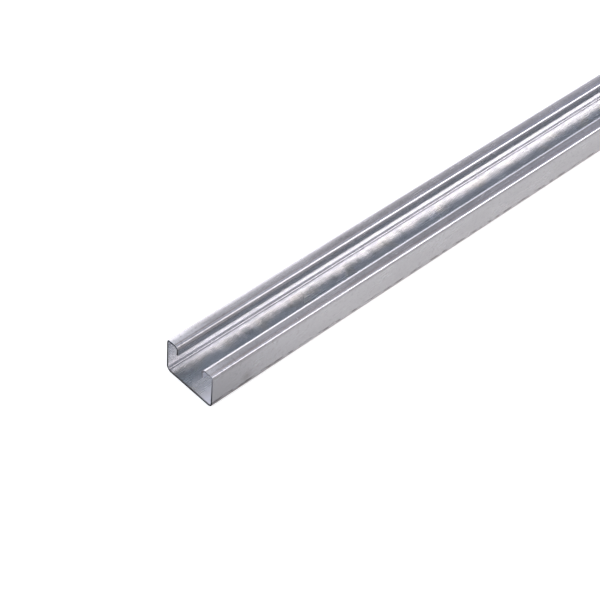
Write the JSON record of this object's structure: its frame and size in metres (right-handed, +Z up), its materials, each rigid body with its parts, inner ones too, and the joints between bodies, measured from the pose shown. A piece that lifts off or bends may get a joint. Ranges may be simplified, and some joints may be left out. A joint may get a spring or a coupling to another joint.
{
  "type": "c-channel",
  "caption": "Galvanised steel lipped C channel: a plain web, two side walls and inward lips with down-turned returns either side of a full-length slot, with square-cut ends.",
  "frame": {"origin": "centre of the web's back, at mid-length, on the surface that the rail lies on", "axes": "+Y along the rail's length, +X across its width, +Z up out of the slot"},
  "size_m": [0.038, 1, 0.025],
  "materials": {
    "galvanised_sheet": "satin, strip-galvanised with bare cut ends"
  },
  "bodies": {
    "root": {"c_channel": "galvanised_sheet"}
  },
  "joints": []
}
